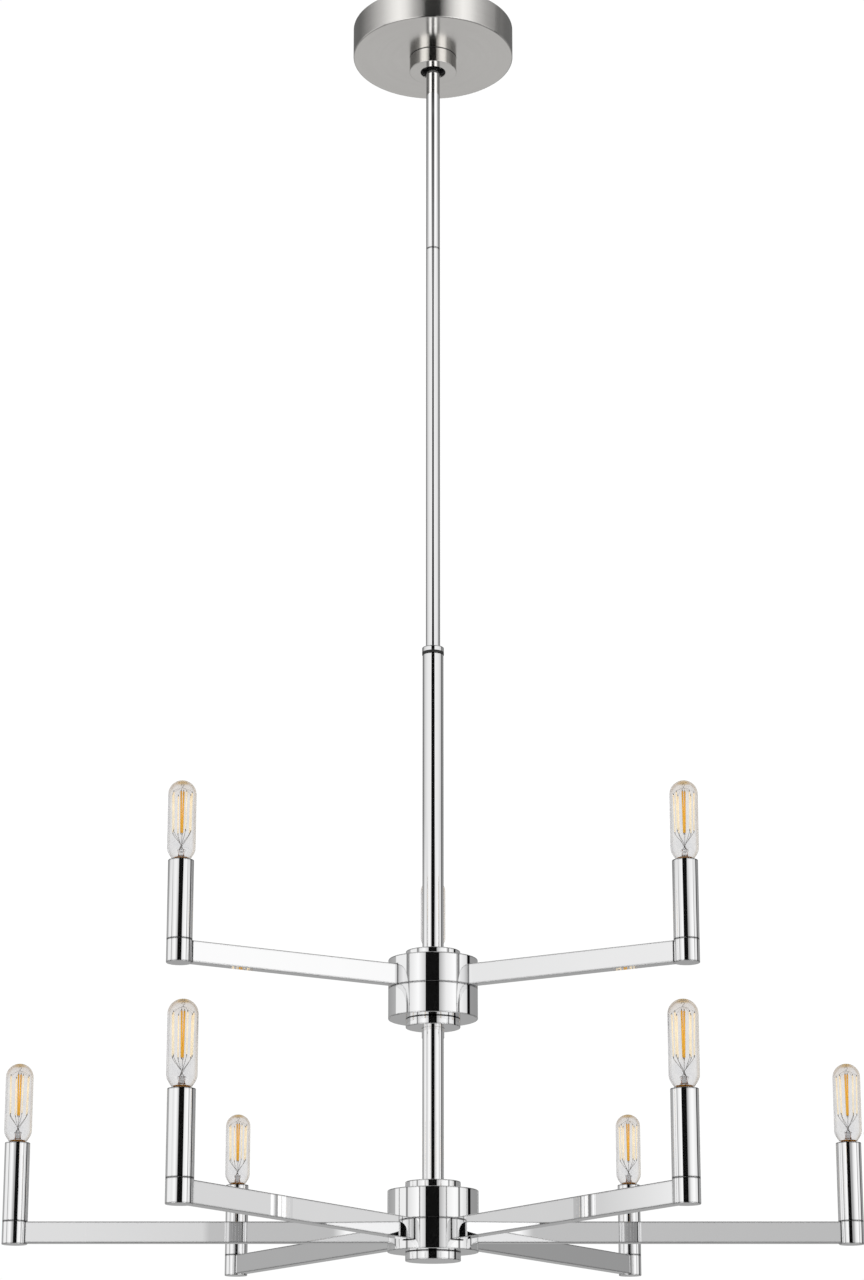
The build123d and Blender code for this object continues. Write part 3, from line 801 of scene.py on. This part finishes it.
def quad(name, corners, material):
    """Flat stage panel."""
    mesh = bpy.data.meshes.new(name)
    mesh.from_pydata(corners, [], [tuple(range(len(corners)))])
    mesh.materials.append(material)
    panel = bpy.data.objects.new(name, mesh)
    SCENE.collection.objects.link(panel)
    return panel


def reflection_only(panel):
    """Leave a panel to reflections alone."""
    for kind in ("camera", "diffuse", "transmission", "volume_scatter", "shadow"):
        setattr(panel, f"visible_{kind}", False)


def glow(name, axis, stops):
    """Clear panel material that adds light by position along an axis, from (metres, strength) stops."""
    material = bpy.data.materials.new(name)
    material.use_nodes = True
    tree = Tree(material.node_tree)
    place = tree.add("ShaderNodeTexCoord").outputs["Object"]
    along = tree.add("ShaderNodeSeparateXYZ", {"Vector": place}).outputs[axis]
    low, high = stops[0][0], stops[-1][0]
    share = tree.remap(along, low, high, 0.0, 1.0)
    colour = tree.ramp(share, [((where - low) / (high - low), grey(value)) for where, value in stops])
    clear = tree.add("ShaderNodeBsdfTransparent")
    light = tree.add("ShaderNodeEmission", {"Color": colour, "Strength": 1.0})
    both = tree.add("ShaderNodeAddShader", {0: clear, 1: light})
    tree.add("ShaderNodeOutputMaterial", {"Surface": both})
    return material


def lit_only(panel, nodes):
    """Let a glowing panel light only these nodes."""
    receivers = bpy.data.collections.new(f"{panel.name}_receivers")
    for node in nodes:
        receivers.objects.link(frame["nodes"][node])
    panel.light_linking.receiver_collection = receivers


def upright_panel(name, centre, facing, width, low, high, material):
    """Vertical panel about a point in plan, facing a compass direction in degrees from +X."""
    angle = math.radians(facing)
    along = Vector((-math.sin(angle), math.cos(angle), 0)) * (width / 2)
    middle = Vector((*centre, 0))
    corners = [middle - along + Vector((0, 0, low)), middle + along + Vector((0, 0, low))]
    corners += [middle + along + Vector((0, 0, high)), middle - along + Vector((0, 0, high))]
    return quad(name, [tuple(c) for c in corners], material)


def black_paint():
    """Black card that reflects nothing."""
    return finish_of("black_card", lambda tree: {"Roughness": 1.0}, **{"Base Color": grey(0.002)})


# Brightness round the fixture, as (degrees to the right of the camera, grey shown by the metal):
# at the height of the arms and hubs, of the stem, of the canopy and of what the canopy's underside sees
AROUND = [
    (-180, 156), (-157, 150), (-112, 172), (-110, 236), (-73, 238), (-71.5, 130), (-67.5, 130),
    (-66, 222), (-38, 252), (-22, 214), (-17, 175), (14, 160), (24, 205), (34, 235), (56, 252),
    (66, 245), (67.5, 125), (71.5, 125), (73, 243), (94, 222), (98, 210), (99, 10), (109, 12),
    (111, 150), (157, 142), (180, 156),
]
AROUND_STEM = [
    (-180, 120), (-140, 105), (-118, 150), (-104, 205), (-60, 232), (-20, 236), (20, 236), (60, 232),
    (98, 200), (100, 60), (110, 60), (113, 150), (140, 120), (180, 120),
]
AROUND_CANOPY = [
    (-180, 92), (-130, 92), (-106, 125), (-81, 185), (-60, 240), (-50, 253), (-40, 235), (-28, 170),
    (-17, 105), (-13, 40), (13, 28), (17, 110), (22, 165), (32, 222), (44, 253), (55, 235), (67, 192),
    (82, 155), (97, 130), (128, 92), (180, 92),
]
AROUND_UNDER = [
    (-180, 92), (-100, 70), (-75, 110), (-55, 235), (-36, 240), (-22, 150), (-12, 112), (12, 116),
    (22, 150), (38, 240), (58, 235), (75, 130), (100, 92), (180, 92),
]

# Brightness of the metals, and the elevations in degrees where the studio's parts meet
CHROME = 0.82
NICKEL = 0.62
STEM_ELEVATION = (12.2, 14.5)
CANOPY_ELEVATION = (25, 29)
UNDER_ELEVATION = (-19, -23)
OVERHEAD = {"elevation": (40, 47), "brightness": 0.45}
UNDERFOOT = {"elevation": (-46, -54), "brightness": 0.35}
BACK = (148, 163)
BACK_BELOW = {"elevation": (-13, -22), "shown": 172}
SOFT_LIGHT = 0.65


def around_ramp(tree, share, stops, base):
    """Brightness round the horizon that shows as the stops' greys in metal of that base brightness."""
    colours = [((degrees + 180) / 360, grey(shown(value) / base)) for degrees, value in stops]
    return tree.ramp(share, colours)


def build_world():
    """White to the eye and through glass; metal sees softboxes, gaps and grey walls around it."""
    world = bpy.data.worlds.new("studio")
    SCENE.world = world
    world.use_nodes = True
    tree = Tree(world.node_tree)
    direction = tree.add("ShaderNodeTexCoord").outputs["Generated"]
    x, y, z = tree.add("ShaderNodeSeparateXYZ", {"Vector": direction}).outputs
    turn = tree.math("DEGREES", tree.math("ARCTAN2", x, tree.math("MULTIPLY", y, -1.0)))
    rise = tree.math("DEGREES", tree.math("ARCSINE", z))
    share = tree.remap(turn, -180.0, 180.0, 0.0, 1.0)
    low_walls = around_ramp(tree, share, AROUND, CHROME)
    middle_walls = around_ramp(tree, share, AROUND_STEM, CHROME)
    high_walls = around_ramp(tree, share, AROUND_CANOPY, NICKEL)
    under_walls = around_ramp(tree, share, AROUND_UNDER, NICKEL * NICKEL)
    stem_walls = tree.blend(tree.remap(rise, *STEM_ELEVATION, 0.0, 1.0), low_walls, middle_walls)
    walls = tree.blend(tree.remap(rise, *CANOPY_ELEVATION, 0.0, 1.0), stem_walls, high_walls)
    under = tree.blend(tree.remap(rise, *UNDER_ELEVATION, 0.0, 1.0), walls, under_walls)
    behind = tree.remap(tree.math("ABSOLUTE", turn), *BACK, 0.0, 1.0)
    floor_behind = grey(shown(BACK_BELOW["shown"]) / NICKEL)
    back = tree.blend(tree.remap(rise, *BACK_BELOW["elevation"], 0.0, 1.0), walls, floor_behind)
    room = tree.blend(behind, under, back)
    for ends in (UNDERFOOT, OVERHEAD):
        reach = tree.remap(rise, *ends["elevation"], 0.0, 1.0)
        room = tree.blend(reach, room, grey(ends["brightness"]))
    path = tree.add("ShaderNodeLightPath").outputs
    lit = tree.blend(path["Is Diffuse Ray"], room, grey(SOFT_LIGHT))
    direct = tree.math("MAXIMUM", path["Is Camera Ray"], path["Is Transmission Ray"])
    seen = tree.blend(direct, lit, grey(BACKDROP))
    background = tree.add("ShaderNodeBackground", {"Color": seen, "Strength": 1.0})
    tree.add("ShaderNodeOutputWorld", {"Surface": background})


def build_floor():
    """Plain pale floor well below the fixture."""
    level = CAD_BOX[0].z - FLOOR_GAP
    corners = circle(FLOOR_R, level, 64)
    floor = quad("floor", corners, finish_of("floor_paint", floor_paint))
    floor.visible_glossy = False


# Fill light for the long arms' fronts: panels of (metres to the right, strength), beside the black
# card and just in front of it
FRONT_FILLS = {
    "left_fill": [(-0.85, 0.42), (-0.52, 0.38)],
    "middle_fill": [
        (-0.52, 0.86), (-0.345, 0.80), (-0.335, 0.62), (-0.15, 0.60), (-0.13, 1.15), (0.13, 1.15),
        (0.15, 0.62), (0.43, 0.60),
    ],
    "right_fill": [(0.43, 0.16), (0.85, 0.14)],
}
FILL_BEFORE_CARD = 0.0002
FRONT_FILL_SPAN = (-1.35, -0.70)
SIDE_FILL = {"away": 0.30, "y": -0.05, "width": 0.70, "low": -1.40, "high": -1.05}
SIDE_STRENGTH = {1: 0.44, -1: 0.26}


def front_fill(name, stops):
    """Glowing panel just before the black card, for the long arms' reflections alone."""
    left, right = stops[0][0], stops[-1][0]
    place = ((left + right) / 2, FILL_BEFORE_CARD - CARD_DISTANCE)
    material = glow(f"{name}_glow", "X", stops)
    fill = upright_panel(name, place, 90, right - left, *FRONT_FILL_SPAN, material)
    reflection_only(fill)
    lit_only(fill, ["arm_lower_1", "arm_lower_4"])


def build_cards():
    """Black card in front for the dark line down every round part, and fill light for the flat arms."""
    side = SIDE_FILL
    left_edge = [(left, -CARD_DISTANCE, height) for height, left, _ in CARD_EDGES]
    right_edge = [(right, -CARD_DISTANCE, height) for height, _, right in CARD_EDGES]
    reflection_only(quad("black_card", right_edge + left_edge[::-1], black_paint()))
    for name, stops in FRONT_FILLS.items():
        front_fill(name, stops)
    for sign, arm in ((1, "arm_lower_5"), (-1, "arm_lower_6")):
        strength = SIDE_STRENGTH[sign]
        near = side["y"] - side["width"] / 2
        far = side["y"] + side["width"] / 2
        material = glow(f"{arm}_glow", "Y", [(near, strength), (far, strength)])
        place = (sign * side["away"], side["y"])
        span = (side["low"], side["high"])
        panel = upright_panel(f"{arm}_fill", place, 0, side["width"], *span, material)
        reflection_only(panel)
        lit_only(panel, [arm])


def area_light(name, location, size, power):
    """Soft square light that looks at the stem and shows in no reflection."""
    light = bpy.data.lights.new(name, "AREA")
    light.size = size
    light.energy = power
    lamp = bpy.data.objects.new(name, light)
    SCENE.collection.objects.link(lamp)
    lamp.location = location
    target = Vector((0, 0, CAD_BOX[0].z / 2))
    lamp.rotation_euler = (target - lamp.location).to_track_quat("-Z", "Y").to_euler()
    lamp.visible_glossy = False
    lamp.visible_camera = False
    lamp.visible_transmission = False


def build_camera():
    """Camera at the viewing angle of a tall product shot."""
    data = bpy.data.cameras.new("camera")
    data.lens = CAMERA_LENS
    data.shift_x, data.shift_y = CAMERA_SHIFT
    data.clip_end = CAMERA_REACH
    camera = bpy.data.objects.new("camera", data)
    SCENE.collection.objects.link(camera)
    camera.location = (0.0, -CAMERA_DISTANCE, -CAMERA_DROP)
    camera.rotation_euler = (math.radians(90 + CAMERA_PITCH), 0.0, 0.0)
    SCENE.camera = camera


SCENE.view_settings.view_transform = "Standard"
finish_cad_nodes()
place_lamps()
place_grooves()
build_world()
build_floor()
build_cards()
area_light("overhead", **OVERHEAD_LIGHT)
build_camera()
